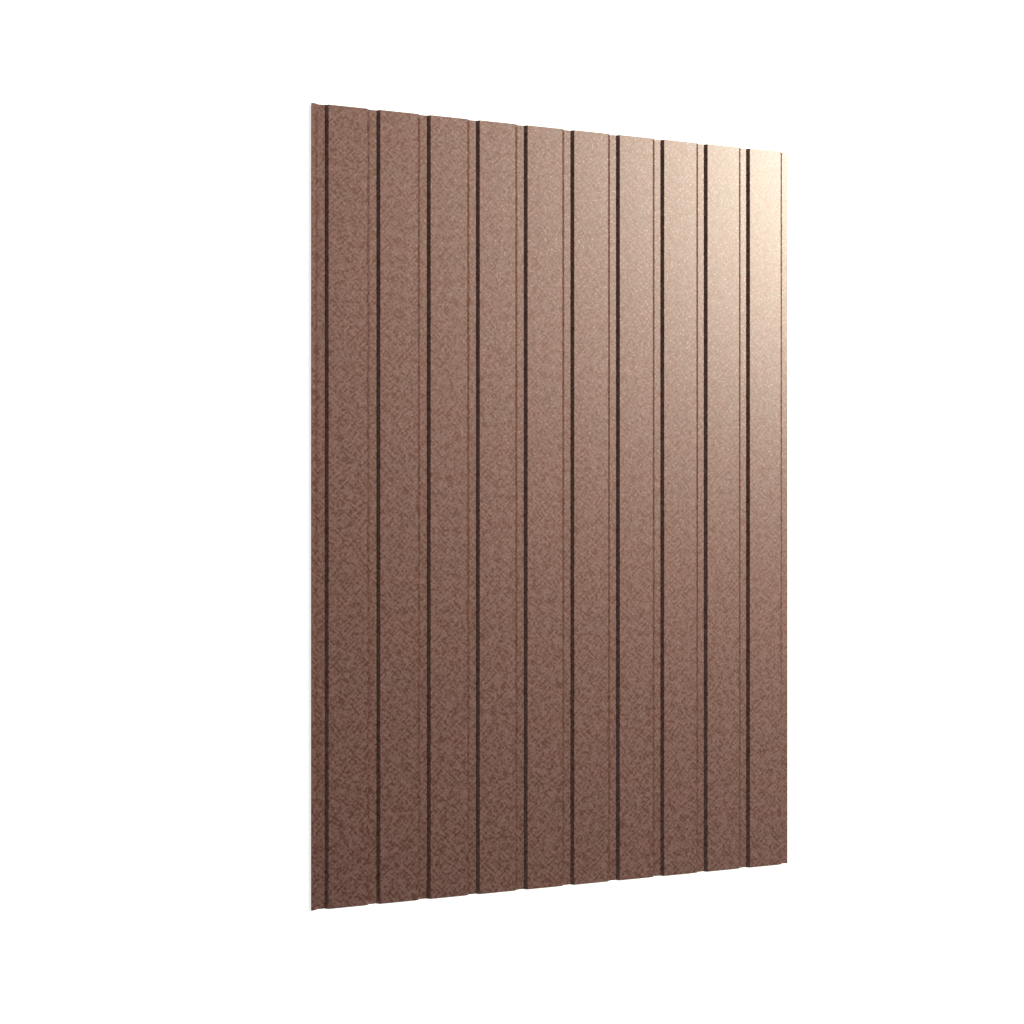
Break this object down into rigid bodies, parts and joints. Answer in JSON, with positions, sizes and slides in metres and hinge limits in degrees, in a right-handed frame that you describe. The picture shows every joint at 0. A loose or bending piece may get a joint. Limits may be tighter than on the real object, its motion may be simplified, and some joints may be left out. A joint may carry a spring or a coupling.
{
  "type": "corrugated roofing sheet",
  "caption": "Long thin coated steel sheet with shallow trapezoidal grooves rolled along it, for roofs, walls and fences.",
  "frame": {"origin": "middle of the sheet's underside, on the ground that the groove floors lie on", "axes": "+Y along the grooves, the long way; +X across the width, from the side flange to the lap edge; +Z out of the painted face"},
  "size_m": [1.1814, 1.75, 0.0065],
  "materials": {
    "coated_steel": "satin brown coil coating with a fine cross-hatched print, grey protective lacquer underneath"
  },
  "bodies": {
    "root": {"roofing_sheet": "coated_steel"}
  },
  "joints": []
}
